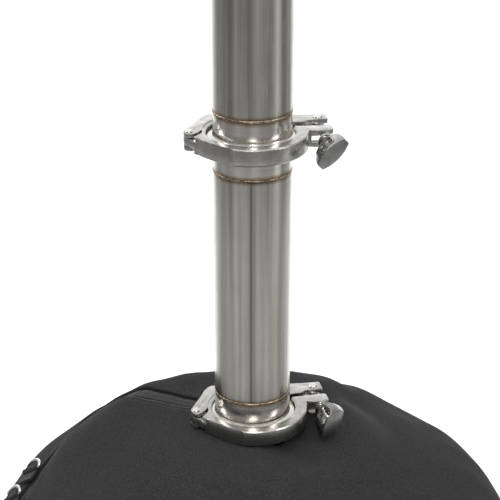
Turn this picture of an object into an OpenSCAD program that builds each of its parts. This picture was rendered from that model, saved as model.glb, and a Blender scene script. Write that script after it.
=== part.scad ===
// Weighted parasol base: a clamped stainless column on a ballast foot under a fabric jacket.
// Millimetres, +Z up. The origin is on the floor under the column axis, +Y points to the back.

/* [Column] */
// Outside diameter of the column tubes
tube_od = 76.2; // [75:0.1:77]
// Wall thickness of the tubes
tube_wall = 2; // [1.5:0.1:2.5]
// Height of the lower clamp's middle above the floor
lower_clamp_z = 244; // [243:1:250]
// Distance between the middles of the two clamps
clamp_pitch = 298; // [200:1:400]
// Length of the mast tube above its weld
mast_tube_len = 170; // [100:1:300]

/* [Ferrules] */
// Outside diameter of a ferrule's flange
flange_od = 91; // [90.5:0.1:91.5]
// Length of a ferrule from its face to its weld
ferrule_len = 27.4; // [22:0.1:35]
// Thickness of a flange at its rim
flange_rim = 2.85; // [2.5:0.05:3]
// Thickness of a gasket
gasket_t = 1.6; // [1.2:0.1:1.8]
// Height of a girth weld
weld_h = 2.4; // [1.5:0.1:4]

/* [Clamps] */
// Outside radius of a clamp's front jaw
jaw_r = 55; // [54:0.5:56]
// Height of the jaws
jaw_h = 17; // [16:0.5:18]
// Turn of the lower clamp about the column
lower_turn = 13; // [0:1:30]
// Turn of the upper clamp about the column
upper_turn = 6; // [0:1:30]
// Opening of the upper clamp's rear jaw about its hinge
upper_open = 2.5; // [0:0.1:2.5]
// Sideways play that the lower clamp has taken up on its flanges
lower_shift = 1; // [-1.5:0.1:1.5]
// Sideways play that the upper clamp has taken up on its flanges
upper_shift = -1.5; // [-1.5:0.1:1.5]
// Distance that the upper wing nut is backed off its ear
upper_slack = 8; // [0:0.5:10]
// Swing of both bolts at rest, away from the column
bolt_swing = 2.3; // [0:0.1:4]
// Angle of the lower wing nut about its bolt
lower_nut_turn = 60; // [0:1:180]
// Angle of the upper wing nut about its bolt
upper_nut_turn = 46; // [0:1:180]
// Diameter of the swing bolts
bolt_d = 6.4; // [6:0.1:7]
// Length of a wing nut's lens-shaped end
wing_len = 35; // [32:0.5:36]

/* [Foot] */
// Radius of the jacket at the floor
jacket_r = 293; // [285:1:300]
// Thickness of the padded jacket
jacket_t = 4; // [3:0.5:4.5]
// Radius of the rubber mat and of the steel plate on it
mat_r = 284; // [275:1:285]
// Thickness of the rubber mat
mat_t = 6; // [4:1:7]
// Thickness of the steel plate
plate_t = 8; // [6:1:8]

/* [Buckle] */
// Radius of the bow of a wire ring
ring_r = 13; // [12:0.5:14]
// Thickness of the ring wire
wire_d = 3; // [2.5:0.1:3.2]

/* [Hidden] */
$fn = 96;

// Fits: running clearance of a shaft in its hole, and the gap between parts that turn or slide apart
fit = 0.05;
gap = 0.3;
eps = 0.01;

// Column: a face sits under each gasket, and a gap above it, so that the section above can turn
tube_r = tube_od / 2;
bore_r = tube_r - tube_wall;
flange_r = flange_od / 2;
flange_slope = tan(20);
hub_r = tube_r + 2.4;
upper_clamp_z = lower_clamp_z + clamp_pitch;
face_up = gasket_t / 2 + gap;
face_down = gasket_t / 2;
weld_crown = 0.45;
weld_root = 0.3;
column_tube_len = clamp_pitch - face_up - face_down - 2 * (ferrule_len + weld_h);
plate_top = mat_t + plate_t;
spigot_tube_len = lower_clamp_z - face_down - ferrule_len - weld_h - plate_top;

// Clamp: plan places in the clamp's own frame, hinge at the left, ears at the right
rear_jaw_r = jaw_r + 2;
lip_r = tube_r + 4.9;
groove_r = flange_r + 1.9;
groove_half = face_up + flange_rim + 0.35;
lip_half = groove_half + (groove_r - lip_r) * flange_slope;
hinge_x = -59;
hinge_y = 3;
hinge_lug_r = 5.3;
hinge_pin_r = 2.5;
tongue_half = 4;
tongue_gap = 0.8;
bolt_x = 69.8;
bolt_y = 26.9;
bolt_r = bolt_d / 2;
bolt_pin_r = 3;
eye_r = 6.5;
eye_half = 3.6;
front_gap_y = 8;
rear_gap_y = 15;
ear_face_y = -7;
ear_end_x = 78.6;
slot_half = 4.2;
slot_x = 57.6;
pocket_half = 6.9;
pocket_y = 1;
seat_gap = 0.3;
washer_t = 1.6;
washer_r = 8;
bolt_len = 56;
nut_len = 33;
neck_r = 5.4;
wing_half = 7;
wing_end_half = 3.2;
wing_flat = 5.2;
window_x = 7.5;
window_s = 5.5;
bar_t = 5.5;

// Jacket: a round shoulder over the wide slabs, with a raised crown over the narrow ones
shoulder_z = 203;
shoulder_in = 3.2;
shoulder_out = 0.37;
crown_rise = 24;
crown_in = 105;
crown_out = 160;
neck_dip = 4;
jacket_neck_r = tube_r + 2;
jacket_foot_z = 5;
profile_steps = 26;

function smooth(t) = t <= 0 ? 0 : t >= 1 ? 1 : t * t * (3 - 2 * t);
function shoulder(r) = shoulder_z * pow(max(0, 1 - pow(r / jacket_r, shoulder_in)), shoulder_out);
function crown(r) = crown_rise * (1 - smooth((r - crown_in) / (crown_out - crown_in)));
function dip(r) = neck_dip * (1 - smooth((r - 40) / 70));
function jacket_z(r) = shoulder(r) + crown(r) - dip(r);
// Steps crowd towards the foot, where the wall stands upright
foot_r = jacket_r * pow(1 - pow(jacket_foot_z / shoulder_z, 1 / shoulder_out), 1 / shoulder_in);
function step_r(i) = jacket_neck_r + (foot_r - jacket_neck_r) * (1 - pow(1 - i / profile_steps, 3));
function tangent(r) = let (d = 0.02, a = jacket_z(r - d), b = jacket_z(r)) [d, b - a] / norm([d, b - a]);
function layer(r, depth) = let (t = tangent(r)) [r + t[1] * depth, jacket_z(r) - t[0] * depth];

// The closing slit runs out from the column and curls forward down the left side
slit_start = 157;
slit_curl = 33;
function slit_turn(r) = slit_start + slit_curl * smooth((r - 185) / 65);
function slit_width(r) = 23 + 11 * smooth((r - 110) / 90);
function at_angle(r, a) = [r * cos(a), r * sin(a)];
function front_edge(r, inset) = at_angle(r, slit_turn(r) + inset / r * 180 / PI);
function back_edge(r, inset) = at_angle(r, slit_turn(r) - (slit_width(r) + inset) / r * 180 / PI);
slit_radii = [for (i = [0:26]) 30 + i * 11];

// Wire rings: radius and angle of their places on the jacket
ring_places = [[233, 174.5], [248, 182.5]];
tab_w = 20;
tab_r = 3.4;
tab_lift = 3.5;
ring_lean = 14;
ring_twist = 20;

steel = [0.72, 0.72, 0.70];
cast = [0.62, 0.62, 0.60];
heat = [0.55, 0.42, 0.28];
fabric = [0.12, 0.12, 0.13];
concrete = [0.60, 0.59, 0.56];
rubber = [0.08, 0.08, 0.08];
elastomer = [0.88, 0.87, 0.83];

// ---- Column ----

module pipe(r, hole, length)
    difference() {
        cylinder(r = r, h = length);
        translate([0, 0, -1]) cylinder(r = hole, h = length + 2);
    }

// Turned ferrule standing on its flange face
module ferrule() {
    taper_z = flange_rim + (flange_r - hub_r) * flange_slope;
    color(steel) rotate_extrude() polygon([
        [bore_r, 0],
        [flange_r, 0],
        [flange_r, flange_rim],
        [hub_r, taper_z],
        [tube_r + 0.6, taper_z + 0.7],
        [tube_r, taper_z + 2.4],
        [tube_r, ferrule_len],
        [bore_r, ferrule_len]
    ]);
}

// Girth weld: a low crown outside and a slight root inside
module girth_weld()
    color(heat) rotate_extrude() polygon([
        [bore_r, 0],
        [tube_r, 0],
        [tube_r + weld_crown * 0.8, weld_h * 0.25],
        [tube_r + weld_crown, weld_h * 0.5],
        [tube_r + weld_crown * 0.8, weld_h * 0.75],
        [tube_r, weld_h],
        [bore_r, weld_h],
        [bore_r - weld_root, weld_h * 0.6],
        [bore_r - weld_root, weld_h * 0.4]
    ]);

module gasket(z)
    color(elastomer) translate([0, 0, z - gasket_t / 2]) pipe(flange_r - 1.5, bore_r + 0.4, gasket_t);

mast_face = upper_clamp_z + face_up;
column_top_face = upper_clamp_z - face_down;
column_foot_face = lower_clamp_z + face_up;
spigot_face = lower_clamp_z - face_down;

module mast_ferrule() translate([0, 0, mast_face]) ferrule();
module mast_weld() translate([0, 0, mast_face + ferrule_len]) girth_weld();
module mast_tube()
    color(steel) translate([0, 0, mast_face + ferrule_len + weld_h])
        pipe(tube_r, bore_r, mast_tube_len);

module upper_gasket() gasket(upper_clamp_z);
module column_upper_ferrule() translate([0, 0, column_top_face]) mirror([0, 0, 1]) ferrule();
module column_upper_weld() translate([0, 0, column_top_face - ferrule_len - weld_h]) girth_weld();
module column_tube()
    color(steel) translate([0, 0, column_foot_face + ferrule_len + weld_h])
        pipe(tube_r, bore_r, column_tube_len);
module column_lower_weld() translate([0, 0, column_foot_face + ferrule_len]) girth_weld();
module column_lower_ferrule() translate([0, 0, column_foot_face]) ferrule();

module lower_gasket() gasket(lower_clamp_z);
module spigot_ferrule() translate([0, 0, spigot_face]) mirror([0, 0, 1]) ferrule();
module spigot_weld() translate([0, 0, spigot_face - ferrule_len - weld_h]) girth_weld();
module spigot_tube() color(steel) translate([0, 0, plate_top]) pipe(tube_r, bore_r, spigot_tube_len);

// ---- Foot ----

module rubber_mat() color(rubber) cylinder(r = mat_r, h = mat_t);
module base_plate() color(cast) translate([0, 0, mat_t]) cylinder(r = mat_r, h = plate_t);

// Four plates stiffen the stub on the base plate
module spigot_gussets()
    color(cast) for (a = [45:90:315])
        rotate([0, 0, a]) translate([0, 3, plate_top]) rotate([90, 0, 0]) linear_extrude(6)
            polygon([[tube_r, 0], [tube_r + 40, 0], [tube_r + 40, 8], [tube_r + 8, 60], [tube_r, 60]]);

// Part of a round slab, cut by straight joints; the slab's upper rim is chamfered
module slab_part(r_in, r_out, z, h, parts, part) {
    joint = 1;
    chamfer = 8;
    half = 180 / parts;
    color(concrete) rotate([0, 0, 2 * half * part]) intersection() {
        translate([0, 0, z]) rotate_extrude() polygon([
            [r_in, 0], [r_out, 0], [r_out, h - chamfer], [r_out - chamfer, h], [r_in, h]
        ]);
        translate([0, 0, z - 1]) linear_extrude(h + 2)
            if (parts == 1) square(4 * r_out, center = true);
            else if (parts == 2) translate([joint, -2 * r_out]) square([2 * r_out, 4 * r_out]);
            else translate([joint, joint]) square(2 * r_out);
    }
}

gusset_clear_r = tube_r + 46;
stack_r = tube_r + 6;
lower_slab_h = 86;
middle_slab_h = 48;
upper_slab_h = 30;
crown_h = 34;
middle_slab_z = plate_top + lower_slab_h;
upper_slab_z = middle_slab_z + middle_slab_h;
crown_z = upper_slab_z + upper_slab_h;

module lower_slab(part) slab_part(gusset_clear_r, 268, plate_top, lower_slab_h, 4, part);
module middle_slab(part) slab_part(stack_r, 234, middle_slab_z, middle_slab_h, 2, part);
module upper_slab(part) slab_part(stack_r, 178, upper_slab_z, upper_slab_h, 2, part + 0.5);

module lower_ballast_1() lower_slab(0);
module lower_ballast_2() lower_slab(1);
module lower_ballast_3() lower_slab(2);
module lower_ballast_4() lower_slab(3);
module middle_ballast_1() middle_slab(0);
module middle_ballast_2() middle_slab(1);
module upper_ballast_1() upper_slab(0);
module upper_ballast_2() upper_slab(1);
module crown_weight() slab_part(stack_r, 102, crown_z, crown_h, 1, 0);

// ---- Clamps ----

// Ring of a jaw: its flat ends at the radius inner, and a lower ledge runs from there to the lip
module jaw_ring(r, inner, ledge) {
    edge = 1.2;
    top = jaw_h / 2;
    rotate_extrude() polygon([
        [inner, top],
        [inner - 0.2, ledge],
        [lip_r, lip_half + 1],
        [lip_r, lip_half],
        [groove_r, groove_half],
        [groove_r, -groove_half],
        [lip_r, -lip_half],
        [lip_r, -lip_half - 1],
        [inner - 0.2, -ledge],
        [inner, -top],
        [r - edge, -top],
        [r, edge - top],
        [r, top - edge],
        [r - edge, top]
    ]);
}

module upright(x, y, r, half) translate([x, y, -half]) cylinder(r = r, h = 2 * half);
module slab(half, points) translate([0, 0, -half]) linear_extrude(2 * half) polygon(points);

// Room for the ferrules inside whatever is added to a jaw ring
module ferrule_room()
    rotate_extrude() polygon([
        [0, -jaw_h],
        [lip_r, -jaw_h],
        [lip_r, -lip_half],
        [groove_r, -groove_half],
        [groove_r, groove_half],
        [lip_r, lip_half],
        [lip_r, jaw_h],
        [0, jaw_h]
    ]);

// Turns its children, and a point, about the hinge as the rear jaw opens
module opened(angle)
    translate([hinge_x, hinge_y, 0]) rotate([0, 0, angle]) translate([-hinge_x, -hinge_y, 0]) children();
function opened_bolt(angle) = let (x = bolt_x - hinge_x, y = bolt_y - hinge_y)
    [hinge_x + x * cos(angle) - y * sin(angle), hinge_y + x * sin(angle) + y * cos(angle)];
// Radius of the washer's seat about the bolt pin
function seat_r(open) = opened_bolt(open)[1] - ear_face_y;

module front_jaw_shape(open) {
    top = jaw_h / 2;
    bolt = opened_bolt(open);
    difference() {
        union() {
            // Ring, flattened from the corner by the hinge to the front
            intersection() {
                jaw_ring(jaw_r, lip_r + 1.6, top - 0.4);
                slab(jaw_h, [
                    [-47.8, -2.6], [-54.5, -11.3], [-54.5, -13], [-48.1, -22.2], [-41.2, -31], [-33.6, -39.2],
                    [-25, -46.5], [-14, -60], [60, -60],
                    [60, front_gap_y], [30, front_gap_y], [0, -20], [-30, 0.3], [-46.8, 0.3]
                ]);
            }
            // Corner in front of the hinge
            slab(top, [[-55.5, -12.3], [-47.8, -2.6], [-46, -14], [-52.5, -16.5]]);
            // Ear with the bolt slot
            slab(top, [
                [43, front_gap_y], [ear_end_x - 2, front_gap_y], [ear_end_x, front_gap_y - 2],
                [ear_end_x, ear_face_y + 3], [ear_end_x - 3, ear_face_y], [57, ear_face_y], [50, -16]
            ]);
            // Hinge tongue
            slab(tongue_half, [
                [-64.2, 2.4], [-63.2, -1.5], [-60.5, -5], [-57, -11], [-55.5, -14.6], [-50, -18], [-47, -3], [-54, 4.5]
            ]);
            upright(hinge_x, hinge_y, hinge_lug_r, tongue_half);
        }
        ferrule_room();
        // The bolt lies in a slot that opens outwards
        translate([slot_x, -40, -slot_half]) cube([40, 80, 2 * slot_half]);
        translate([slot_x, pocket_y, -pocket_half]) cube([40, 40, 2 * pocket_half]);
        // Seat of the nut washer, round about the bolt pin so that the washer can swing away
        difference() {
            upright(bolt[0], bolt[1], 2 * seat_r(open), jaw_h);
            upright(bolt[0], bolt[1], seat_r(open), jaw_h + 1);
            upright(0, 0, jaw_r, jaw_h + 1);
        }
        upright(hinge_x, hinge_y, hinge_pin_r + fit, jaw_h);
    }
}

module rear_jaw_shape() {
    top = jaw_h / 2;
    difference() {
        union() {
            intersection() {
                jaw_ring(rear_jaw_r, 46.8, 7.5);
                slab(jaw_h, [
                    [-46.4, 6], [-46.4, 1.1], [-30, 1.1], [0, 20], [30, rear_gap_y],
                    [70, rear_gap_y], [70, 70], [-60, 70]
                ]);
            }
            // Hinge arm, straight outside
            slab(top, [
                [-64.3, 3], [-62.5, 7.5], [-58, 15], [-50, 28], [-43, 41], [-38, 47.5], [-33, 50.5], [-26, 49],
                [-32.5, 37], [-37, 30], [-42, 21.5], [-45.4, 12], [-46.8, 5.9], [-50, 0.8], [-54.9, -4],
                [-58.5, -5.6], [-61.8, -4.2], [-63.8, -1]
            ]);
            upright(hinge_x, hinge_y, hinge_lug_r, top);
            // Ear that holds the bolt pin
            slab(top, [
                [42, rear_gap_y], [52, rear_gap_y], [60, bolt_y - 8], [ear_end_x - 1, bolt_y - 7.5],
                [ear_end_x, bolt_y - 6], [ear_end_x, bolt_y + 5.5], [ear_end_x - 1.5, bolt_y + 7], [60, bolt_y + 8], [44, 37]
            ]);
        }
        ferrule_room();
        // Fork round the hinge tongue
        slab(tongue_half + tongue_gap, [[-80, -20], [-44, -20], [-44, 4], [-52, 12], [-80, 12]]);
        upright(hinge_x, hinge_y, hinge_pin_r + fit, jaw_h);
        // Fork round the eye of the bolt
        upright(bolt_x, bolt_y, eye_r + 1.2, eye_half + gap);
        translate([bolt_x - bolt_r - 1, bolt_y - 40, -eye_half - gap]) cube([60, 40, 2 * (eye_half + gap)]);
        translate([bolt_x, bolt_y - bolt_r - 1, -eye_half - gap]) cube([60, 20, 2 * (eye_half + gap)]);
        upright(bolt_x, bolt_y, bolt_pin_r + fit, jaw_h);
    }
}

// Straight pin with a low head at each end
module headed_pin(x, y, r) {
    head = 1.6;
    top = jaw_h / 2;
    translate([x, y, 0]) rotate_extrude() polygon([
        [0, -top - head],
        [r + 0.6, -top - head],
        [r + 1.5, -top - head * 0.4],
        [r + 1.5, -top - eps],
        [r, -top - eps],
        [r, top + eps],
        [r + 1.5, top + eps],
        [r + 1.5, top + head * 0.4],
        [r + 0.6, top + head],
        [0, top + head]
    ]);
}

// Places its children on the bolt: the origin is the bolt pin, +Z points along the bolt
module on_bolt(open)
    translate([opened_bolt(open)[0], opened_bolt(open)[1], 0]) rotate([0, 0, bolt_swing]) rotate([90, 0, 0]) children();

module swing_bolt_shape(open) {
    bolt = opened_bolt(open);
    difference() {
        union() {
            upright(bolt[0], bolt[1], eye_r, eye_half);
            on_bolt(open) cylinder(r = bolt_r, h = bolt_len);
        }
        upright(bolt[0], bolt[1], bolt_pin_r + fit, jaw_h);
        // Rounded end
        on_bolt(open) translate([0, 0, bolt_len - 1]) difference() {
            cylinder(r = bolt_r + 1, h = 2);
            cylinder(r1 = bolt_r, r2 = bolt_r - 1, h = 1 + eps);
        }
    }
}

module nut_washer_shape(open, slack)
    on_bolt(open) translate([0, 0, seat_r(open) + seat_gap + slack]) difference() {
        cylinder(r = washer_r, h = washer_t);
        translate([0, 0, -1]) cylinder(r = bolt_r + fit, h = washer_t + 2);
    }

// One of the two bowed sides of a wing nut
module bowed_side(bow, side)
    translate([0, side * (bow - wing_half), 0]) cylinder(r = bow, h = nut_len);

// Wing nut: a neck flares into a wing with a window in it and a flat, lens-shaped end
module wing_nut_shape(open, slack, turn) {
    end_x = wing_len / 2;
    slimming = wing_half - wing_end_half;
    bow = (end_x * end_x + slimming * slimming) / (2 * slimming);
    nut_s = seat_r(open) + slack + 2 * seat_gap + washer_t;
    on_bolt(open) translate([0, 0, nut_s]) rotate([0, 0, turn]) difference() {
        union() {
            cylinder(r = neck_r, h = window_s + 2);
            intersection() {
                bowed_side(bow, 1);
                bowed_side(bow, -1);
                rotate([90, 0, 0]) linear_extrude(2 * wing_half, center = true) polygon([
                    [-neck_r + 0.4, 3.5], [neck_r - 0.4, 3.5], [9.5, 7.5], [13.5, 12.5], [16.3, 18.5], [end_x, 26],
                    [end_x, nut_len], [-end_x, nut_len], [-end_x, 26], [-16.3, 18.5], [-13.5, 12.5], [-9.5, 7.5]
                ]);
            }
        }
        translate([0, 0, -1]) cylinder(r = bolt_r + fit, h = window_s + 4);
        // Window over the bolt's end
        rotate([90, 0, 0]) linear_extrude(4 * wing_half, center = true) polygon([
            [3 - window_x, window_s], [window_x - 3, window_s], [window_x - 0.8, window_s + 3], [window_x, 14],
            [window_x, 20], [window_x - 1, 24.5], [window_x - 3.5, nut_len - bar_t],
            [3.5 - window_x, nut_len - bar_t], [1 - window_x, 24.5], [-window_x, 20], [-window_x, 14],
            [0.8 - window_x, window_s + 3]
        ]);
        // Flats beside the window
        for (side = [-1, 1])
            translate([0, side * (wing_flat + wing_half), 0]) rotate([90, 0, 0])
                linear_extrude(2 * wing_half, center = true)
                    polygon([[-13, 0], [13, 0], [13, 19], [8, nut_len - 4.5], [-8, nut_len - 4.5], [-13, 19]]);
    }
}

module at_lower() translate([lower_shift, 0, lower_clamp_z]) rotate([0, 0, lower_turn]) children();
module at_upper() translate([upper_shift, 0, upper_clamp_z]) rotate([0, 0, upper_turn]) children();

module lower_front_jaw() color(cast) at_lower() front_jaw_shape(0);
module lower_rear_jaw() color(cast) at_lower() rear_jaw_shape();
module lower_hinge_pin() color(steel) at_lower() headed_pin(hinge_x, hinge_y, hinge_pin_r);
module lower_bolt_pin() color(steel) at_lower() headed_pin(bolt_x, bolt_y, bolt_pin_r);
module lower_swing_bolt() color(steel) at_lower() swing_bolt_shape(0);
module lower_nut_washer() color(steel) at_lower() nut_washer_shape(0, 0);
module lower_wing_nut() color(cast) at_lower() wing_nut_shape(0, 0, lower_nut_turn);

module upper_front_jaw() color(cast) at_upper() front_jaw_shape(upper_open);
module upper_rear_jaw() color(cast) at_upper() opened(upper_open) rear_jaw_shape();
module upper_hinge_pin() color(steel) at_upper() headed_pin(hinge_x, hinge_y, hinge_pin_r);
module upper_bolt_pin() color(steel) at_upper() opened(upper_open) headed_pin(bolt_x, bolt_y, bolt_pin_r);
module upper_swing_bolt() color(steel) at_upper() swing_bolt_shape(upper_open);
module upper_nut_washer() color(steel) at_upper() nut_washer_shape(upper_open, upper_slack);
module upper_wing_nut() color(cast) at_upper() wing_nut_shape(upper_open, upper_slack, upper_nut_turn);

// ---- Fabric jacket ----

// A layer of the jacket's shape between two depths under its outer face
module shell(depth_out, depth_in)
    rotate_extrude() polygon(concat(
        [for (i = [0:profile_steps]) layer(step_r(i), depth_out)],
        [for (i = [profile_steps:-1:0]) layer(step_r(i), depth_in)]
    ));

// Upright prism over the slit, narrower by inset on each side
module slit(inset)
    translate([0, 0, -1]) linear_extrude(400) polygon(concat(
        [for (r = slit_radii) front_edge(r, -inset)],
        [for (i = [len(slit_radii) - 1:-1:0]) back_edge(slit_radii[i], -inset)]
    ));

module cover_jacket()
    color(fabric) difference() {
        shell(0, jacket_t);
        slit(0);
    }

// Strip that closes the slit from inside
module cover_under_flap()
    color(fabric) intersection() {
        shell(jacket_t + 0.2, jacket_t + 2.2);
        slit(-12);
    }

// Webbing strap that lies in the slit over the under flap
module closing_strap()
    color(fabric) intersection() {
        shell(jacket_t - 1.8, jacket_t);
        slit(6);
        translate([-400, -200, 20]) cube([280, 400, 300]);
    }

// Frame of a ring: +X across the strap, +Y down along it, +Z out of the jacket
module at_ring(n) {
    r = ring_places[n][0];
    a = ring_places[n][1];
    slope = atan2(-tangent(r)[1], tangent(r)[0]);
    translate([r * cos(a), r * sin(a), jacket_z(r)]) rotate([0, 0, a]) rotate([0, slope, 0])
        rotate([0, 0, -ring_twist]) translate([0, 0, tab_lift]) children();
}

// Sewn webbing loop round the straight side of a ring
module ring_tab(n)
    color(fabric) at_ring(n) difference() {
        union() {
            rotate([0, 90, 0]) translate([0, 0, -tab_w / 2]) cylinder(r = tab_r, h = tab_w);
            translate([-tab_w / 2, 0, -tab_r]) cube([tab_w, 16, 2.4]);
        }
        rotate([0, 90, 0]) translate([0, 0, -tab_w]) cylinder(r = wire_d / 2 + fit, h = 2 * tab_w);
    }

module wire_ring(n)
    color(steel) at_ring(n) rotate([-ring_lean, 0, 0]) {
        bar_len = 2 * ring_r + wire_d * 0.8;
        rotate([0, 90, 0]) translate([0, 0, -bar_len / 2]) cylinder(r = wire_d / 2, h = bar_len);
        rotate([0, 0, 180]) rotate_extrude(angle = 180) translate([ring_r, 0]) circle(r = wire_d / 2);
    }

module ring_tab_1() ring_tab(0);
module ring_tab_2() ring_tab(1);
module wire_ring_1() wire_ring(0);
module wire_ring_2() wire_ring(1);

mast_tube();
mast_weld();
mast_ferrule();
upper_gasket();
column_upper_ferrule();
column_upper_weld();
column_tube();
column_lower_weld();
column_lower_ferrule();
lower_gasket();
spigot_ferrule();
spigot_weld();
spigot_tube();
spigot_gussets();
base_plate();
rubber_mat();
lower_ballast_1();
lower_ballast_2();
lower_ballast_3();
lower_ballast_4();
middle_ballast_1();
middle_ballast_2();
upper_ballast_1();
upper_ballast_2();
crown_weight();
lower_front_jaw();
lower_rear_jaw();
lower_hinge_pin();
lower_bolt_pin();
lower_swing_bolt();
lower_nut_washer();
lower_wing_nut();
upper_front_jaw();
upper_rear_jaw();
upper_hinge_pin();
upper_bolt_pin();
upper_swing_bolt();
upper_nut_washer();
upper_wing_nut();
cover_jacket();
cover_under_flap();
closing_strap();
ring_tab_1();
ring_tab_2();
wire_ring_1();
wire_ring_2();
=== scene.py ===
import math
import bmesh
import bpy
import numpy as np
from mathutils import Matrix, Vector


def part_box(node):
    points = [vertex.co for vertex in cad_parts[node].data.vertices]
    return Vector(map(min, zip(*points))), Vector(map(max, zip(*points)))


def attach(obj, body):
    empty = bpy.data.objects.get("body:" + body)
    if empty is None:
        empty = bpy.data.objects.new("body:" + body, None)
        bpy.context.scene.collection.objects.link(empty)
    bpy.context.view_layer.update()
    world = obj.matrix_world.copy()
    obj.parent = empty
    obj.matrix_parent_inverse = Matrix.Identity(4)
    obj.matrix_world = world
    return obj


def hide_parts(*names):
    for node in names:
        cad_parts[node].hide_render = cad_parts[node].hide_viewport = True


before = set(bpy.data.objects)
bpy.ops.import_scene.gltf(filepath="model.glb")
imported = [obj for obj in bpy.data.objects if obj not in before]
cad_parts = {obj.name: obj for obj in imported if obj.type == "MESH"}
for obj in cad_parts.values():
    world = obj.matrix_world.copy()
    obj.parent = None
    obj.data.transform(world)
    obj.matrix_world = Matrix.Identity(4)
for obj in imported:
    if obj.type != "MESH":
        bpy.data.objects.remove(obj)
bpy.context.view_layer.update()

# ---- Camera ----
# The base stands on the floor with its column upright. The camera looks down on it from the front,
# from 1.7 m away, through a long lens.


def linked(name, data):
    """A new object in the scene."""
    obj = bpy.data.objects.new(name, data)
    bpy.context.collection.objects.link(obj)
    return obj


camera_pitch = math.radians(23.8)
camera_distance = 1.669
aim = Vector((-0.0024, 0, 0.426))
camera = linked("camera", bpy.data.cameras.new("camera"))
camera.data.lens = 122.4
camera.data.sensor_width = 36
camera.data.clip_end = 50
camera.location = aim - camera_distance * Vector((0, math.cos(camera_pitch), -math.sin(camera_pitch)))
camera.rotation_euler = (math.pi / 2 - camera_pitch, 0, 0)
bpy.context.scene.camera = camera
bpy.context.scene.view_settings.view_transform = "Standard"

# ---- Studio ----
# A pale floor in a white room, under four soft boxes: in front, on the right, on the left and above.
# Shiny parts see the room brighter behind the base than in front of it, so round steel shows light and
# dark bands between its pale edges.


def linear(code):
    """The linear colour of an sRGB hex code."""
    parts = [int(code[i:i + 2], 16) / 255 for i in (1, 3, 5)]
    return tuple(p / 12.92 if p <= 0.04045 else ((p + 0.055) / 1.055) ** 2.4 for p in parts) + (1.0,)


def add(tree, kind, inputs=None, stops=(), **settings):
    """Adds a node, with each input given as a value or as a socket to link.

    The stops of a colour ramp are (place, grey level or colour).
    """
    node = tree.nodes.new(kind)
    for name, value in settings.items():
        setattr(node, name, value)
    for key, value in (inputs or {}).items():
        if isinstance(value, bpy.types.NodeSocket):
            tree.links.new(value, node.inputs[key])
        else:
            node.inputs[key].default_value = value
    for count, (place, colour) in enumerate(stops):
        elements = node.color_ramp.elements
        element = elements[count] if count < len(elements) else elements.new(1)
        element.position = place
        element.color = colour if isinstance(colour, tuple) else (colour, colour, colour, 1)
    return node


def rays_at(tree):
    """Whether a ray is the camera's own, and whether it comes off a shiny or through a clear surface."""
    rays = add(tree, "ShaderNodeLightPath").outputs
    shiny = {0: rays["Is Glossy Ray"], 1: rays["Is Transmission Ray"]}
    return rays["Is Camera Ray"], add(tree, "ShaderNodeMath", shiny, operation="MAXIMUM").outputs[0]


def room_brightness(tree, place):
    """Brightness of the room as shiny parts see it, by its place from the foot of the column.

    Each stop is (share of a full turn from the back round by the left, brightness). The near part is the
    floor round the base, and the far part is the dimmer room past it.
    """
    parts = add(tree, "ShaderNodeSeparateXYZ", {0: place}).outputs
    ahead = add(tree, "ShaderNodeMath", {0: parts["Y"], 1: -1.0}, operation="MULTIPLY").outputs[0]
    turn = add(tree, "ShaderNodeMath", {0: parts["X"], 1: ahead}, operation="ARCTAN2").outputs[0]
    share = add(tree, "ShaderNodeMapRange", {0: turn, 1: -math.pi, 2: math.pi}).outputs[0]
    far = add(tree, "ShaderNodeValToRGB", {"Fac": share}, [
        (0.0, 1.7), (0.09, 1.3), (0.135, 0.70), (0.165, 0.24), (0.205, 0.27), (0.245, 0.36), (0.28, 0.25),
        (0.34, 0.27), (0.375, 0.37), (0.41, 0.33), (0.455, 0.27), (0.485, 0.31), (0.5, 0.43), (0.53, 0.42),
        (0.57, 0.31), (0.655, 0.27), (0.68, 0.36), (0.70, 0.80), (0.73, 0.66), (0.762, 0.17), (0.80, 0.33),
        (0.86, 0.45), (0.91, 1.3), (1.0, 1.7)]).outputs[0]
    near = add(tree, "ShaderNodeValToRGB", {"Fac": share}, [
        (0.0, 1.9), (0.09, 1.6), (0.135, 1.15), (0.175, 0.72), (0.21, 0.52), (0.255, 0.46), (0.28, 0.46),
        (0.32, 0.56), (0.375, 0.66), (0.41, 0.66), (0.455, 0.56), (0.50, 0.53), (0.54, 0.57), (0.60, 0.60),
        (0.66, 0.64), (0.70, 0.76), (0.735, 0.62), (0.765, 0.48), (0.80, 0.56), (0.85, 0.95), (0.92, 1.6),
        (1.0, 1.9)]).outputs[0]
    away = add(tree, "ShaderNodeVectorMath", {0: place}, operation="LENGTH").outputs["Value"]
    beyond = add(tree, "ShaderNodeMapRange", {0: away, 1: 1.14, 2: 1.34}).outputs[0]
    return add(tree, "ShaderNodeMix", {"Factor": beyond, 6: near, 7: far}, data_type="RGBA").outputs[2]


world = bpy.data.worlds.new("white room")
bpy.context.scene.world = world
world.use_nodes = True
tree = world.node_tree
tree.nodes.clear()
direction = add(tree, "ShaderNodeTexCoord").outputs["Generated"]
height = add(tree, "ShaderNodeSeparateXYZ", {0: direction}).outputs["Z"]
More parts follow.
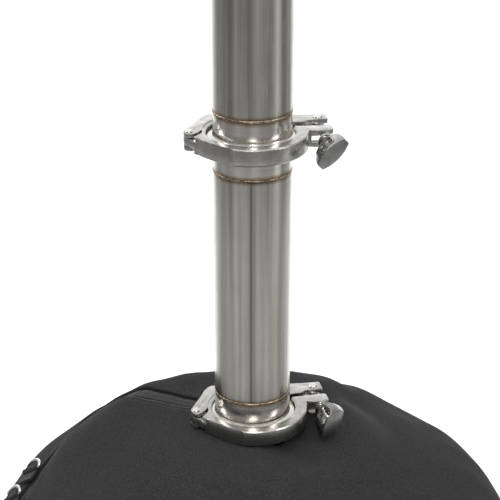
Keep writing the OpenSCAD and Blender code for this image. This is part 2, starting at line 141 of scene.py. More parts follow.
# A direction is one metre long, and the horizon counts as the far part of the room
horizon = add(tree, "ShaderNodeVectorMath", {0: direction, "Scale": 4.0}, operation="SCALE").outputs[0]
overhead = add(tree, "ShaderNodeMapRange", {0: height, 1: 0.15, 2: 0.75}).outputs[0]
sky = {"Factor": overhead, 6: room_brightness(tree, horizon), 7: (0.8, 0.8, 0.8, 1)}
dome = add(tree, "ShaderNodeMix", sky, data_type="RGBA").outputs[2]
lit = add(tree, "ShaderNodeBackground", {"Color": (1, 1, 1, 1), "Strength": 0.50}).outputs[0]
shown = add(tree, "ShaderNodeBackground", {"Color": dome, "Strength": 1.0}).outputs[0]
white = add(tree, "ShaderNodeBackground", {"Color": (1, 1, 1, 1), "Strength": 1.0}).outputs[0]
from_camera, from_shine = rays_at(tree)
reflected = add(tree, "ShaderNodeMixShader", {0: from_shine, 1: lit, 2: shown}).outputs[0]
seen = add(tree, "ShaderNodeMixShader", {0: from_camera, 1: reflected, 2: white}).outputs[0]
add(tree, "ShaderNodeOutputWorld", {"Surface": seen})

reach = 14
corners = [(-reach, -reach, 0), (reach, -reach, 0), (reach, reach, 0), (-reach, reach, 0)]
floor_mesh = bpy.data.meshes.new("floor")
floor_mesh.from_pydata(corners, [], [(0, 1, 2, 3)])
floor = linked("floor", floor_mesh)
floor_material = bpy.data.materials.new("painted white floor")
floor_material.use_nodes = True
tree = floor_material.node_tree
tree.nodes.clear()
place = add(tree, "ShaderNodeTexCoord").outputs["Object"]
paint = add(tree, "ShaderNodeBsdfDiffuse", {"Color": linear("#e4e4e3")}).outputs[0]
glow = add(tree, "ShaderNodeEmission", {"Color": (1, 1, 1, 1), "Strength": 0.46}).outputs[0]
bright_paint = add(tree, "ShaderNodeAddShader", {0: paint, 1: glow}).outputs[0]
room = room_brightness(tree, place)
mirrored = add(tree, "ShaderNodeEmission", {"Color": room, "Strength": 1.0}).outputs[0]
from_camera, from_shine = rays_at(tree)
direct = add(tree, "ShaderNodeMixShader", {0: from_camera, 1: paint, 2: bright_paint}).outputs[0]
seen = add(tree, "ShaderNodeMixShader", {0: from_shine, 1: direct, 2: mirrored}).outputs[0]
add(tree, "ShaderNodeOutputMaterial", {"Surface": seen})
floor_mesh.materials.append(floor_material)


def soft_box(name, turn, lift, away, size, watts):
    """An area lamp that faces the column, at a compass turn from the front and a lift, in degrees."""
    data = bpy.data.lights.new(name, "AREA")
    data.shape = "RECTANGLE"
    data.size, data.size_y = size
    data.energy = watts
    lamp = linked(name, data)
    a = math.radians(turn)
    b = math.radians(lift)
    outwards = Vector((math.sin(a) * math.cos(b), -math.cos(a) * math.cos(b), math.sin(b)))
    middle = Vector((0, 0, 0.35))
    lamp.location = outwards * away + middle
    lamp.rotation_euler = (middle - lamp.location).to_track_quat("-Z", "Y").to_euler()


soft_box("front soft box", 2, 42, 2.6, (0.62, 1.6), 24)
soft_box("right soft box", 70, 32, 2.6, (0.6, 1.8), 18)
soft_box("left soft box", -104, 34, 2.7, (0.7, 1.6), 26)
soft_box("top soft box", 180, 76, 2.6, (2.0, 2.0), 24)

# ---- Tubes ----
# Three lengths of drawn and brushed stainless tube. The draw leaves fine lines along the tube, and the broad
# soft bands along it are partly the draw's tone and partly painted reflection of the room's light and dark
# bands.
# Welding leaves a faint straw to brown tint beside each girth weld.

mm = 0.001


def new_material(name):
    """A new material's empty node tree, and the material."""
    material = bpy.data.materials.new(name)
    material.use_nodes = True
    material.node_tree.nodes.clear()
    return material, material.node_tree


def finish(tree, look, relief=None, strength=0.0, deep=0.0):
    """Ends a material with a surface of this look, raised by a pattern that is so many millimetres deep."""
    if relief:
        raised = {"Strength": strength, "Distance": deep * mm, "Height": relief}
        look["Normal"] = add(tree, "ShaderNodeBump", raised).outputs[0]
    surface = add(tree, "ShaderNodeBsdfPrincipled", look).outputs[0]
    add(tree, "ShaderNodeOutputMaterial", {"Surface": surface})


def dress(names, material):
    """Gives CAD nodes a finished material."""
    for name in names:
        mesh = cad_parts[name].data
        mesh.materials.clear()
        mesh.materials.append(material)


def stretched(tree, marks):
    """Object coordinates, divided by the length of a mark along each axis, in millimetres."""
    place = add(tree, "ShaderNodeTexCoord").outputs["Object"]
    scale = [1 / (mark * mm) for mark in marks]
    return add(tree, "ShaderNodeMapping", {"Vector": place, "Scale": scale}).outputs[0]


def random_marks(tree, marks, detail=2.0, roughness=0.5):
    """A random pattern of marks that have a length in millimetres along each axis."""
    inputs = {"Vector": stretched(tree, marks), "Scale": 1.0, "Detail": detail, "Roughness": roughness}
    return add(tree, "ShaderNodeTexNoise", inputs).outputs["Fac"]


def darkened(tree, colour, pattern, stops):
    """A colour multiplied by a pattern, whose stops are (the pattern's level, grey level or colour)."""
    shadow = add(tree, "ShaderNodeValToRGB", {"Fac": pattern}, stops).outputs[0]
    both = {"Factor": 1.0, 6: colour, 7: shadow}
    return add(tree, "ShaderNodeMix", both, data_type="RGBA", blend_type="MULTIPLY").outputs[2]


def weld_heights():
    """Middle height of each girth weld."""
    names = ("mast_weld", "column_upper_weld", "column_lower_weld", "spigot_weld")
    return [(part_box(name)[0].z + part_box(name)[1].z) / 2 for name in names]


def heat_tint(tree, metal, reach):
    """Tints a metal colour with the straw and brown films that welding leaves within its reach, in mm."""
    place = add(tree, "ShaderNodeTexCoord").outputs["Object"]
    level = add(tree, "ShaderNodeSeparateXYZ", {0: place}).outputs["Z"]
    # No weld is a metre away
    nearest = 1.0
    for z in weld_heights():
        gap = add(tree, "ShaderNodeMath", {0: level, 1: z}, operation="SUBTRACT").outputs[0]
        gap = add(tree, "ShaderNodeMath", {0: gap}, operation="ABSOLUTE").outputs[0]
        nearest = add(tree, "ShaderNodeMath", {0: nearest, 1: gap}, operation="MINIMUM").outputs[0]
    # The film's edge wanders by up to 0.8 mm either way
    wander = {0: random_marks(tree, (9, 9, 60)), 1: 1.6 * mm, 2: -0.8 * mm}
    shift = add(tree, "ShaderNodeMath", wander, operation="MULTIPLY_ADD").outputs[0]
    near = add(tree, "ShaderNodeMath", {0: nearest, 1: shift}, operation="ADD").outputs[0]
    share = add(tree, "ShaderNodeMapRange", {0: near, 1: 0.0, 2: reach * mm}).outputs[0]
    return darkened(tree, metal, share, [
        (0.0, linear("#8f7c6b")), (0.30, linear("#9c8a77")), (0.42, linear("#c4b4a0")),
        (0.7, linear("#e2dacd")), (1.0, (1, 1, 1, 1))])


def seam_line(tree):
    """How much of the long weld of a rolled tube shows: a thin wandering line down its front."""
    place = add(tree, "ShaderNodeSeparateXYZ", {0: add(tree, "ShaderNodeTexCoord").outputs["Object"]}).outputs
    course = {0: random_marks(tree, (40, 40, 25)), 1: 0.4 * mm, 2: 1.1 * mm}
    wander = add(tree, "ShaderNodeMath", course, operation="MULTIPLY_ADD").outputs[0]
    aside = add(tree, "ShaderNodeMath", {0: place["X"], 1: wander}, operation="ADD").outputs[0]
    aside = add(tree, "ShaderNodeMath", {0: aside}, operation="ABSOLUTE").outputs[0]
    in_front = add(tree, "ShaderNodeMath", {0: place["Y"], 1: 0.0}, operation="LESS_THAN").outputs[0]
    fading = {0: aside, 1: 0.4 * mm, 2: 1.3 * mm, 3: 0.62, 4: 0.0}
    line = add(tree, "ShaderNodeMapRange", fading).outputs[0]
    return add(tree, "ShaderNodeMath", {0: line, 1: in_front}, operation="MULTIPLY").outputs[0]


def brushed_tube(name, seam=False):
    material, tree = new_material(name)
    fine = random_marks(tree, (0.55, 0.55, 70), 3, 0.6)
    broad = random_marks(tree, (7, 7, 400), 1)
    cloud = random_marks(tree, (16, 16, 30), 3)
    # The broad bands along the tube are partly the draw's tone and partly painted reflection bands
    metal = add(tree, "ShaderNodeValToRGB", {"Fac": broad}, [
        (0.32, linear("#b1ada6")), (0.5, linear("#c4c1ba")), (0.66, linear("#d2d0ca"))]).outputs[0]
    metal = darkened(tree, metal, fine, [(0.3, 0.80), (0.7, 1.0)])
    metal = heat_tint(tree, metal, 5)
    if seam:
        dark_line = {"Factor": seam_line(tree), 6: metal, 7: linear("#4c4f55")}
        metal = add(tree, "ShaderNodeMix", dark_line, data_type="RGBA").outputs[2]
    rough = add(tree, "ShaderNodeMapRange", {0: fine, 1: 0.3, 2: 0.7, 3: 0.16, 4: 0.28}).outputs[0]
    patchy = add(tree, "ShaderNodeMapRange", {0: cloud, 1: 0.35, 2: 0.65, 3: -0.03, 4: 0.05}).outputs[0]
    rough = add(tree, "ShaderNodeMath", {0: rough, 1: patchy}, operation="ADD").outputs[0]
    finish(tree, {"Base Color": metal, "Metallic": 1.0, "Roughness": rough}, fine, 0.10, 0.06)
    return material


dress(["mast_tube", "spigot_tube"], brushed_tube("brushed stainless tube"))
dress(["column_tube"], brushed_tube("brushed stainless tube with a long seam", seam=True))

# ---- Ferrules ----
# Turned stainless clamp ferrules, one at each end of a tube. Turning and polishing leave faint rings round
# them, and they shine more than the tubes do.


def polished_ferrule():
    material, tree = new_material("turned and polished stainless")
    rings = random_marks(tree, (60, 60, 0.5))
    soft = random_marks(tree, (14, 14, 10))
    stops = [(0.3, linear("#cbc8c1")), (0.7, linear("#dedcd7"))]
    metal = add(tree, "ShaderNodeValToRGB", {"Fac": rings}, stops).outputs[0]
    metal = heat_tint(tree, metal, 5.5)
    rough = add(tree, "ShaderNodeMapRange", {0: soft, 1: 0.3, 2: 0.7, 3: 0.14, 4: 0.22}).outputs[0]
    finish(tree, {"Base Color": metal, "Metallic": 1.0, "Roughness": rough}, rings, 0.08, 0.05)
    return material


ferrules = ["mast_ferrule", "column_upper_ferrule", "column_lower_ferrule", "spigot_ferrule"]
dress(ferrules, polished_ferrule())

# ---- Girth welds ----
# Each ferrule is joined to its tube by a weld run without filler. The bead is a low crown with a fine
# ripple, left brown and gold by the heat.


def piece(name, mesh, body, material, replaces=()):
    """Makes a finished piece of a mesh, whose place is in its points, and fastens it to a CAD body."""
    obj = linked(name, mesh)
    if material:
        mesh.materials.clear()
        mesh.materials.append(material)
    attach(obj, body)
    if replaces:
        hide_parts(*replaces)
    return obj


def looped_rows(rows, closed=True):
    """A smooth mesh of loops of points, each joined to the next, and the last to the first if closed."""
    count = len(rows)
    width = len(rows[0])
    verts = [point for row in rows for point in row]
    faces = []
    for i in range(count if closed else count - 1):
        j = (i + 1) % count
        for k in range(width):
            m = (k + 1) % width
            faces.append((i * width + k, j * width + k, j * width + m, i * width + m))
    mesh = bpy.data.meshes.new("rows")
    mesh.from_pydata(verts, [], faces)
    bm = bmesh.new()
    bm.from_mesh(mesh)
    bmesh.ops.recalc_face_normals(bm, faces=bm.faces)
    bm.to_mesh(mesh)
    bm.free()
    mesh.shade_smooth()
    return mesh


def weld_bead(node, seed):
    """A ring of bead in the place of a CAD node, with a crown 0.45 mm high and ripples that trail back."""
    low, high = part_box(node)
    outer = high.x
    inner = outer - 2.45 * mm
    half = (high.z - low.z) / 2
    middle = (high.z + low.z) / 2
    ripples = 132
    steps_a_ripple = 6
    steps = ripples * steps_a_ripple
    rng = np.random.default_rng(seed)
    around = np.arange(steps) * 2 * math.pi / steps
    wander = 0
    for waves in (3, 5, 9, 14):
        wander = wander + rng.uniform(0.1, 0.3) * np.sin(around * waves + rng.uniform(0, 6.28))
    rows = []
    for i, a in enumerate(around):
        phase = (i % steps_a_ripple) / steps_a_ripple
        lip = (0.20 * (1 - phase) - 0.08) * mm
        row = []
        for t in np.linspace(-1, 1, 9):
            lag = 2 * math.pi / ripples * 0.7 * t * t
            r = outer - 0.45 * mm * abs(t) ** 2.5 + lip * (1 - t * t)
            z = middle + half * t + 0.22 * mm * wander[i] * (1 - t * t)
            row.append((r * math.cos(a - lag), r * math.sin(a - lag), z))
        for t in (1, -1):
            row.append((inner * math.cos(a), inner * math.sin(a), middle + half * t))
        rows.append(row)
    return looped_rows(rows)


def weld_metal():
    material, tree = new_material("heat tinted weld bead")
    grain = random_marks(tree, (2.2, 2.2, 1.4), 3, 0.6)
    broad = random_marks(tree, (14, 14, 20))
    gold = add(tree, "ShaderNodeValToRGB", {"Fac": grain}, [
        (0.30, linear("#57493f")), (0.46, linear("#907d6c")),
        (0.58, linear("#bba995")), (0.72, linear("#e0d4c4"))]).outputs[0]
    metal = darkened(tree, gold, broad, [(0.5, (1, 1, 1, 1)), (0.72, linear("#aeb0bb"))])
    finish(tree, {"Base Color": metal, "Metallic": 1.0, "Roughness": 0.30}, grain, 0.35, 0.2)
    return material


weld_finish = weld_metal()
weld_bodies = {
    "mast_weld": "mast", "column_upper_weld": "column", "column_lower_weld": "column", "spigot_weld": "foot"}
for seed, (name, body) in enumerate(weld_bodies.items()):
    piece(name + "_bead", weld_bead(name, seed), body, weld_finish, [name])

# ---- Gaskets ----
# Moulded ring of white elastomer between each pair of ferrules, matt and slightly waxy.


def moulded_elastomer():
    material, tree = new_material("moulded white elastomer")
    grain = random_marks(tree, (1.5, 1.5, 1.5))
    stops = [(0.3, linear("#dcdad2")), (0.7, linear("#eceae4"))]
    colour = add(tree, "ShaderNodeValToRGB", {"Fac": grain}, stops).outputs[0]
    finish(tree, {"Base Color": colour, "Roughness": 0.55}, grain, 0.1, 0.1)
    return material


dress(["upper_gasket", "lower_gasket"], moulded_elastomer())

# ---- Clamps ----
# Each clamp is two cast stainless jaws on a hinge pin. The castings are tumbled and lightly polished, so
# their edges are soft and bright and their faces keep a fine satin grain. The wing nuts are bead blasted.


def finished_mesh(obj):
    """The mesh of an object with its modifiers applied; the object itself is removed."""
    mesh = bpy.data.meshes.new_from_object(obj.evaluated_get(bpy.context.evaluated_depsgraph_get()))
    bpy.data.objects.remove(obj)
    return mesh


def softened(node, name, body, material, radius):
    """Replaces a CAD node with a copy whose sharp edges are rounded to a radius in mm."""
    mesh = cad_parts[node].data.copy()
    bm = bmesh.new()
    bm.from_mesh(mesh)
    bmesh.ops.remove_doubles(bm, verts=bm.verts, dist=0.002 * mm)
    bmesh.ops.dissolve_limit(bm, angle_limit=math.radians(0.6), verts=bm.verts, edges=bm.edges)
    bm.to_mesh(mesh)
    bm.free()
    obj = linked(name, mesh)
    bevel = obj.modifiers.new("edge", "BEVEL")
    bevel.width = radius * mm
    bevel.segments = 3
    bevel.limit_method = "ANGLE"
    bevel.angle_limit = math.radians(28)
    bevel.use_clamp_overlap = True
    mesh = finished_mesh(obj)
    mesh.shade_smooth()
    mesh.set_sharp_from_angle(angle=math.radians(38))
    return piece(name, mesh, body, material, [node])


def cast_satin(name, dark, pale):
    material, tree = new_material(name)
    grain = random_marks(tree, (0.7, 0.7, 0.7), 3, 0.6)
    cloud = random_marks(tree, (9, 9, 9), 3)
    stops = [(0.3, linear(dark)), (0.7, linear(pale))]
    metal = add(tree, "ShaderNodeValToRGB", {"Fac": cloud}, stops).outputs[0]
    metal = darkened(tree, metal, grain, [(0.3, 0.86), (0.62, 1.0)])
    rough = add(tree, "ShaderNodeMapRange", {0: cloud, 1: 0.3, 2: 0.7, 3: 0.30, 4: 0.22}).outputs[0]
    finish(tree, {"Base Color": metal, "Metallic": 1.0, "Roughness": rough}, grain, 0.22, 0.1)
    return material


cast_finish = cast_satin("investment cast stainless, tumbled satin", "#a8a6a2", "#c4c2be")
blasted_finish = cast_satin("investment cast stainless, bead blasted", "#989796", "#b2b1b0")
for side, body in (("lower", "foot"), ("upper", "column")):
    for jaw in (f"{side}_front_jaw", f"{side}_rear_jaw"):
        softened(jaw, jaw + "_casting", body, cast_finish, 0.9)
    nut = f"{side}_wing_nut"
    softened(nut, nut + "_casting", f"{side}_nut", blasted_finish, 1.0)

# ---- Pins, bolts and washers ----
# Turned stainless: hinge and bolt pins with riveted, domed heads, and an eye bolt on each clamp with a
# plain washer under its wing nut.


def turned_steel():
    material, tree = new_material("turned stainless")
    rings = random_marks(tree, (0.5, 0.5, 0.5))
    stops = [(0.3, linear("#c2c0bc")), (0.7, linear("#dad8d4"))]
    metal = add(tree, "ShaderNodeValToRGB", {"Fac": rings}, stops).outputs[0]
    finish(tree, {"Base Color": metal, "Metallic": 1.0, "Roughness": 0.2}, rings, 0.1, 0.08)
    return material


turned_finish = turned_steel()
for side, body in (("lower", "foot"), ("upper", "column")):
    dress([f"{side}_swing_bolt", f"{side}_nut_washer"], turned_finish)
    for pin in ("hinge", "bolt"):
        softened(f"{side}_{pin}_pin", f"{side}_{pin}_rivet", body, turned_finish, 1.4)

# ---- Plate, gussets and mat ----
# A round steel plate with welded gussets carries the column. It is powder coated black, and a moulded
# rubber mat under it keeps it from sliding.


def powder_coat():
    material, tree = new_material("black powder coat")
    orange_peel = random_marks(tree, (1.6, 1.6, 1.6))
    stops = [(0.3, linear("#1d1d1f")), (0.7, linear("#262628"))]
    colour = add(tree, "ShaderNodeValToRGB", {"Fac": orange_peel}, stops).outputs[0]
    finish(tree, {"Base Color": colour, "Roughness": 0.42}, orange_peel, 0.3, 0.2)
    return material


def moulded_rubber():
    material, tree = new_material("moulded rubber")
    grain = random_marks(tree, (2.5, 2.5, 2.5), 3)
    stops = [(0.3, linear("#19191a")), (0.7, linear("#232324"))]
    colour = add(tree, "ShaderNodeValToRGB", {"Fac": grain}, stops).outputs[0]
    finish(tree, {"Base Color": colour, "Roughness": 0.8}, grain, 0.4, 0.4)
    return material


dress(["base_plate", "spigot_gussets"], powder_coat())
dress(["rubber_mat"], moulded_rubber())

# ---- Ballast ----
# Cast concrete slabs, stacked round the stub in three layers and a crown. The mould leaves them pale grey
# with small air holes.


def cast_concrete():
    material, tree = new_material("cast concrete")
    sand = random_marks(tree, (1.8, 1.8, 1.8), 4, 0.65)
    cloud = random_marks(tree, (45, 45, 45), 3)
    cells = add(tree, "ShaderNodeTexVoronoi", {"Vector": stretched(tree, (9, 9, 9)), "Scale": 1.0})
    hole = [(0.08, 0.35), (0.16, 1.0)]
    depth = add(tree, "ShaderNodeValToRGB", {"Fac": cells.outputs["Distance"]}, hole).outputs[0]
    stops = [(0.3, linear("#8e8b85")), (0.7, linear("#a8a59e"))]
    colour = add(tree, "ShaderNodeValToRGB", {"Fac": cloud}, stops).outputs[0]
    colour = darkened(tree, colour, sand, [(0.3, 0.82), (0.7, 1.0)])
    # The air holes are also darkened in the colour: painted shade inside the holes
    colour = darkened(tree, colour, cells.outputs["Distance"], hole)
    finish(tree, {"Base Color": colour, "Roughness": 0.9}, depth, 0.5, 0.8)
    return material


dress([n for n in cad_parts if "ballast" in n or n == "crown_weight"], cast_concrete())

# ---- Jacket ----
# One panel of 4 mm padded, knit-faced neoprene wraps the slabs and closes along a curved slit on the left.
# It is cut to shape, its edges are turned and stitched, and it lies loosely enough to fold at the shoulder.
# Lengths are in mm here, and turns are in degrees from +X.

jacket_radius = 293.0
shoulder_height = 203.0
neck_radius = 40.6
hem_radius = 292.6
slit_start = 157.0
slit_curl = 33.0


def smooth(t):
    """A soft step from 0 to 1."""
    t = np.clip(t, 0, 1)
    return t * t * (3 - 2 * t)


def window(turn, start, end, fade):
    """1 between two turns, fading to 0 outside them."""
    middle = (start + end) / 2
    off = np.abs((turn - middle + 180) % 360 - 180) - (end - start) / 2
    return 1 - smooth(off / fade)


def slit_turn(r):
    """Turn of the slit's front edge: straight out from the neck, then forwards at the shoulder."""
    return slit_start + slit_curl * smooth((r - 185) / 65)


def slit_width(r):
    return 23 + 11 * smooth((r - 110) / 90)


def front_edge(r, outside=0):
    """Turn of the slit's front edge, or of a line on the panel outside the slit by a distance."""
    return slit_turn(r) + np.degrees(outside / r)


def back_edge(r, outside=0):
    """Turn of the slit's back edge, or of a line on the panel outside the slit by a distance."""
    return slit_turn(r) - np.degrees((slit_width(r) + outside) / r)


def hill(r, turn, height, r_at, turn_at, r_half, turn_half):
    """A smooth hill at a radius and a turn, or a dent if its height is negative."""
    off = (turn - turn_at + 180) % 360 - 180
    return height * np.exp(-((r - r_at) / r_half) ** 2 - (off / turn_half) ** 2)


def lifted_edge(r):
    """Height that the panel's ends gain over the plain dome where they meet."""
    places = (100, 117, 129, 141, 150, 162, 177, 189, 197, 204, 210, 215, 223, 232, 248)
    heights = (0, 5, 14, 24, 28, 28.5, 22, 14, 11, 9.5, 5, -1, -4, -3, 0)
    return sum(np.interp(r + step, places, heights) for step in (-6, -3, 0, 3, 6)) / 5


def jacket_height(r, turn):
    """Height of the jacket's outer face at a radius and a turn."""
    shoulder = shoulder_height * np.maximum(0, 1 - (r / jacket_radius) ** 3.2) ** 0.37
    # The cloth is bunched high round the neck, except on the right
    high = 32 * (1 - smooth((r - 100) / 72))
    high = high + hill(r, turn, 8.5, 128, 88, 30, 50) + hill(r, turn, 15, 158, 57, 26, 15)
    low = 24 * (1 - smooth((r - 105) / 55)) - 4 * (1 - smooth((r - 40) / 70))
    clear = window(turn, -46, 37, np.where((turn + 180) % 360 < 176, 40, 15))
    crown = high * (1 - clear) + low * clear
    crown += hill(r, turn, 6.5, 120, 126, 24, 12) + hill(r, turn, -3.2, 157, 147, 16, 5)
    crown += hill(r, turn, 6.5, 204, 55, 26, 9)
    # The panel's ends stand up along the slit
    fade = 34 - 12 * (turn < slit_turn(r))
    tent = lifted_edge(r) * window(turn - slit_turn(r), -9, 4, fade)
    # Folds run over the shoulder, and shallow waves go round the wall
    folds = hill(r, turn, 3.0, 238, 27, 26, 7) + hill(r, turn, -2.6, 208, 37, 18, 8)
    folds += hill(r, turn, 2.2, 228, 14.5, 34, 3.6) + hill(r, turn, 2.0, 232, 2, 30, 3.4)
    folds += hill(r, turn, 3.0, 234, 137, 20, 6) + hill(r, turn, -4.5, 268, 168, 18, 16)
    folds += hill(r, turn, -2.6, 242, 147, 14, 8) + hill(r, turn, -3.0, 271, 10, 12, 8)
    waves = 1.2 * np.sin(np.radians(turn) * 5 + 1.0)
    waves = waves * smooth((r - 190) / 60) * (1 - smooth((r - 268) / 18))
    return shoulder + crown + tent + folds + waves


def profile_radii(count):
    """Radii from the neck to the hem, closer together where the wall stands upright."""
    t = np.linspace(0, 1, count)
    return neck_radius + (hem_radius - neck_radius) * (1 - (1 - t) ** 2.6)


def jacket_point(r, turn, depth):
    """A point under the jacket's outer face by a depth."""
    a = np.radians(turn)
    inside = r - 0.4
    outside = np.minimum(r + 0.4, 292.9)
    z = jacket_height(r, turn)
    slope_r = (jacket_height(outside, turn) - jacket_height(inside, turn)) / (outside - inside)
    slope_a = (jacket_height(r, turn + 0.2) - jacket_height(r, turn - 0.2)) / (np.radians(0.4) * r)
    normal_x = -slope_r * np.cos(a) + slope_a * np.sin(a)
    normal_y = -slope_r * np.sin(a) - slope_a * np.cos(a)
    normal = np.stack([normal_x, normal_y, np.ones_like(z)], -1)
    normal /= np.linalg.norm(normal, axis=-1, keepdims=True)
    point = np.stack([r * np.cos(a), r * np.sin(a), z], -1)
    return point - normal * np.expand_dims(depth, -1)


def jacket_strip(radii, start, end, columns, depth):
    """A grid of points under the jacket's outer face, between two turns that are given at each radius."""
    r = np.repeat(radii[:, None], columns, 1)
    turn = start[:, None] + (end - start)[:, None] * np.linspace(0, 1, columns)
    return jacket_point(r, turn, depth)


def grid_mesh(name, points):
    """A mesh of quads from a grid of points."""
    rows, columns = points.shape[:2]
    verts = (points.reshape(-1, 3) * mm).tolist()
    faces = []
    for i in range(rows - 1):
        for k in range(i * columns, (i + 1) * columns - 1):
            faces.append((k, k + columns, k + columns + 1, k + 1))
    mesh = bpy.data.meshes.new(name)
    mesh.from_pydata(verts, [], faces)
    return mesh


def thickened(mesh, thickness, rim):
    """Gives a sheet its thickness, under its outer face, and a rounded rim if that isn't 0."""
    obj = linked("sheet", mesh)
    solid = obj.modifiers.new("thickness", "SOLIDIFY")
    solid.thickness = thickness * mm
    solid.offset = -1
    solid.use_even_offset = True
    if rim:
        bevel = obj.modifiers.new("rim", "BEVEL")
        bevel.width = rim * mm
        bevel.segments = 2
        bevel.limit_method = "ANGLE"
        bevel.angle_limit = math.radians(50)
    result = finished_mesh(obj)
    result.shade_smooth()
    return result


def neoprene(name, shades):
    material, tree = new_material(name)
    # The knit's loops are 0.5 mm apart; they are drawn 1.3 mm apart, as fine as the picture can show
    knit = random_marks(tree, (1.3, 1.3, 1.3), 3, 0.7)
    nap = random_marks(tree, (30, 30, 30), 3)
    dark, middle, pale = [linear(shade_code) for shade_code in shades]
    stops = [(0.34, dark), (0.52, middle), (0.72, pale)]
    colour = add(tree, "ShaderNodeValToRGB", {"Fac": knit}, stops).outputs[0]
    colour = darkened(tree, colour, nap, [(0.3, 0.93), (0.7, 1.0)])
    finish(tree, {
        "Base Color": colour, "Roughness": 0.9, "Specular IOR Level": 0.12, "Sheen Weight": 0.05,
        "Sheen Roughness": 0.35, "Sheen Tint": linear("#c8c8ca")}, knit, 0.35, 0.4)
    return material


radii = profile_radii(84)
jacket_points = jacket_strip(radii, front_edge(radii), back_edge(radii) + 360, 300, 0.0)
jacket_mesh = thickened(grid_mesh("jacket", jacket_points), 4, 1.8)
neoprene_finish = neoprene("knit-faced neoprene", ("#262627", "#313132", "#434344"))
jacket = piece("jacket", jacket_mesh, "foot", neoprene_finish, ["cover_jacket"])

# ---- Under flap ----
# A strip of thin brushed fabric, sewn inside the panel beside the slit, closes the slit from under it.


def brushed_fabric():
    material, tree = new_material("brushed loop fabric")
    fluff = random_marks(tree, (1.0, 1.0, 1.0), 4, 0.75)
    tuft = random_marks(tree, (5, 5, 5), 3, 0.6)
    colour = add(tree, "ShaderNodeValToRGB", {"Fac": fluff}, [
        (0.32, linear("#29292a")), (0.55, linear("#343435")), (0.75, linear("#4a4a4b"))]).outputs[0]
    colour = darkened(tree, colour, tuft, [(0.35, 0.85), (0.65, 1.0)])
    finish(tree, {
        "Base Color": colour, "Roughness": 0.95, "Specular IOR Level": 0.2, "Sheen Weight": 0.2,
        "Sheen Roughness": 0.6}, fluff, 0.7, 0.7)
    return material


overlap = 12
radii = profile_radii(84)[2:]
flap_points = jacket_strip(radii, back_edge(radii, overlap), front_edge(radii, overlap), 15, 4.3)
flap_mesh = thickened(grid_mesh("under_flap", flap_points), 1.8, 0)
flap = piece("under_flap", flap_mesh, "foot", brushed_fabric(), ["cover_under_flap"])

# ---- Stitching ----
# Rows of lock stitch hold the turned edges of the panel along the slit and round the hem. The thread is
# black polyester, 0.9 mm thick, and each stitch is 4 mm long and sinks a little into the padding.


def stitch_tree(thread):
    """Geometry nodes that lay stitches along every line of a mesh of edges."""
    tree = bpy.data.node_groups.new("stitches", "GeometryNodeTree")
    tree.interface.new_socket(name="Geometry", in_out="INPUT", socket_type="NodeSocketGeometry")
    for name in ("Pitch", "Stitch length", "Thread"):
        tree.interface.new_socket(name=name, in_out="INPUT", socket_type="NodeSocketFloat")
    tree.interface.new_socket(name="Geometry", in_out="OUTPUT", socket_type="NodeSocketGeometry")
    given = tree.nodes.new("NodeGroupInput").outputs
    line = add(tree, "GeometryNodeMeshToCurve", {"Mesh": given["Geometry"]}).outputs[0]
    spaced = {"Curve": line, "Length": given["Pitch"]}
    line = add(tree, "GeometryNodeResampleCurve", spaced, mode="LENGTH").outputs[0]
    along = add(tree, "GeometryNodeInputTangent").outputs[0]
    turned = add(tree, "FunctionNodeAlignRotationToVector", {"Vector": along}, axis="X").outputs[0]
    bead = add(tree, "GeometryNodeMeshUVSphere", {"Segments": 8, "Rings": 6, "Radius": 0.5}).outputs[0]
    sizes = {0: given["Stitch length"], 1: given["Thread"], 2: given["Thread"]}
    scale = add(tree, "ShaderNodeCombineXYZ", sizes).outputs[0]
    placed = {"Points": line, "Instance": bead, "Rotation": turned, "Scale": scale}
    laid = add(tree, "GeometryNodeInstanceOnPoints", placed).outputs[0]
    laid = add(tree, "GeometryNodeRealizeInstances", {0: laid}).outputs[0]
    laid = add(tree, "GeometryNodeSetShadeSmooth", {0: laid}).outputs[0]
    laid = add(tree, "GeometryNodeSetMaterial", {0: laid, "Material": thread}).outputs[0]
    add(tree, "NodeGroupOutput", {0: laid})
    return tree


def stitched(name, lines, thread, pitch, length, thick):
    """A mesh of stitches along lines of points."""
    verts, edges = [], []
    for line in lines:
        start = len(verts)
        verts += (line * mm).tolist()
        edges += [(i, i + 1) for i in range(start, len(verts) - 1)]
    guide = bpy.data.meshes.new(name)
    guide.from_pydata(verts, edges, [])
    obj = linked(name, guide)
    modifier = obj.modifiers.new("stitches", "NODES")
    modifier.node_group = stitch_tree(thread)
    values = {"Pitch": pitch * mm, "Stitch length": length * mm, "Thread": thick * mm}
    for socket in modifier.node_group.interface.items_tree:
        if socket.in_out == "INPUT" and socket.name in values:
            modifier[socket.identifier] = values[socket.name]
    return finished_mesh(obj)


def spun_thread():
    material, tree = new_material("spun polyester thread")
    twist = random_marks(tree, (0.4, 0.4, 0.4))
    stops = [(0.3, linear("#29292a")), (0.7, linear("#3a3a3b"))]
    colour = add(tree, "ShaderNodeValToRGB", {"Fac": twist}, stops).outputs[0]
    finish(tree, {"Base Color": colour, "Roughness": 0.6}, twist, 0.3, 0.1)
    return material


margin = 7
sunk = 0.1
radii = profile_radii(220)[6:-6]
front_row = jacket_point(radii, front_edge(radii, margin), sunk)
back_row = jacket_point(radii, back_edge(radii, margin), sunk)
hem_turn = np.linspace(slit_turn(290.0) + 1.4, slit_turn(290.0) - 8 + 360, 500)
hem_row = jacket_point(np.full(500, 290.4), hem_turn, sunk)
stitches = stitched("stitching", [front_row, back_row, hem_row], spun_thread(), 4.6, 3.9, 0.9)
piece("stitching", stitches, "foot", None)

# ---- Edge roll ----
# The front end of the panel is turned over a thin cord before it is stitched, which stiffens it. Its knit is
# drawn paler than the panel: a painted highlight along the turned edge, where it catches the light.

roll_radius = 1.15
theta = np.linspace(0, 2 * math.pi, 10, endpoint=False)
radii = profile_radii(260)[8:-4]
places = np.arange(len(radii))
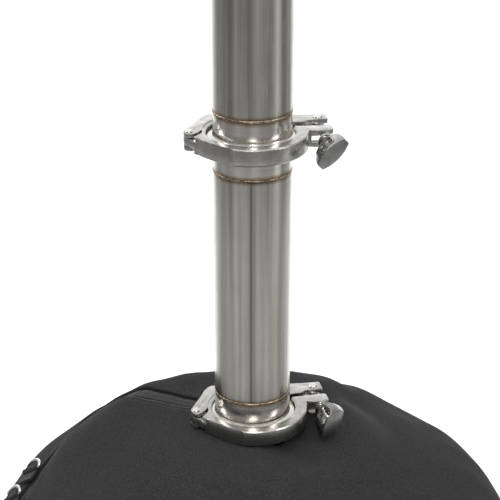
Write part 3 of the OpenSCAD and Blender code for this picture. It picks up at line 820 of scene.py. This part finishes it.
# The roll tapers to nothing at its two ends
roll = roll_radius * np.clip(np.minimum(places, places[::-1]) / 2, 0.04, 1)[:, None]
r = np.repeat(radii[:, None], len(theta), 1)
across = 0.5 + roll * np.sin(theta)
deep = 0.75 - roll * np.cos(theta)
rows = jacket_point(r, front_edge(r, across), deep) * mm
# Paler knit along the edge: a painted highlight where the turned edge catches the light
highlit_edge_knit = neoprene("knit edge with painted highlight", ("#454546", "#525253", "#636364"))
piece("edge_roll", looped_rows(rows.tolist(), closed=False), "foot", highlit_edge_knit)

# ---- Closing strap ----
# Woven polyester webbing runs down the slit over the under flap, and the wire rings pull the edges to it.


def woven_webbing():
    material, tree = new_material("woven webbing")
    ribs = {"Vector": stretched(tree, (2.2, 2.2, 2.2)), "Scale": 0.5, "Distortion": 1.5, "Detail": 1.0}
    weft = add(tree, "ShaderNodeTexWave", ribs, bands_direction="Z").outputs["Fac"]
    yarn = random_marks(tree, (0.9, 0.9, 0.9), 3)
    stops = [(0.3, linear("#212122")), (0.7, linear("#2f2f30"))]
    colour = add(tree, "ShaderNodeValToRGB", {"Fac": yarn}, stops).outputs[0]
    colour = darkened(tree, colour, weft, [(0.1, 0.82), (0.7, 1.0)])
    look = {"Base Color": colour, "Roughness": 0.8, "Specular IOR Level": 0.3, "Sheen Weight": 0.1}
    finish(tree, look, weft, 0.5, 0.4)
    return material


strap_inset = 6
radii = profile_radii(84)
radii = radii[(radii > 58) & (radii < 291.5)]
strap_points = jacket_strip(radii, back_edge(radii, -strap_inset), front_edge(radii, -strap_inset), 9, 2.4)
strap_mesh = thickened(grid_mesh("strap", strap_points), 1.5, 0)
webbing_finish = woven_webbing()
strap = piece("strap", strap_mesh, "foot", webbing_finish, ["closing_strap"])

# ---- Ring tabs and wire rings ----
# Each ring is 3 mm polished wire bent to a bow with a straight side, which turns in a sewn webbing tab.


def polished_wire():
    material, tree = new_material("polished plated wire")
    grain = random_marks(tree, (1.5, 1.5, 1.5))
    stops = [(0.3, linear("#dcdcdc")), (0.7, linear("#ededed"))]
    metal = add(tree, "ShaderNodeValToRGB", {"Fac": grain}, stops).outputs[0]
    rough = add(tree, "ShaderNodeMapRange", {0: grain, 1: 0.3, 2: 0.7, 3: 0.06, 4: 0.12}).outputs[0]
    finish(tree, {"Base Color": metal, "Metallic": 1.0, "Roughness": rough})
    return material


dress(["wire_ring_1", "wire_ring_2"], polished_wire())
dress(["ring_tab_1", "ring_tab_2"], webbing_finish)
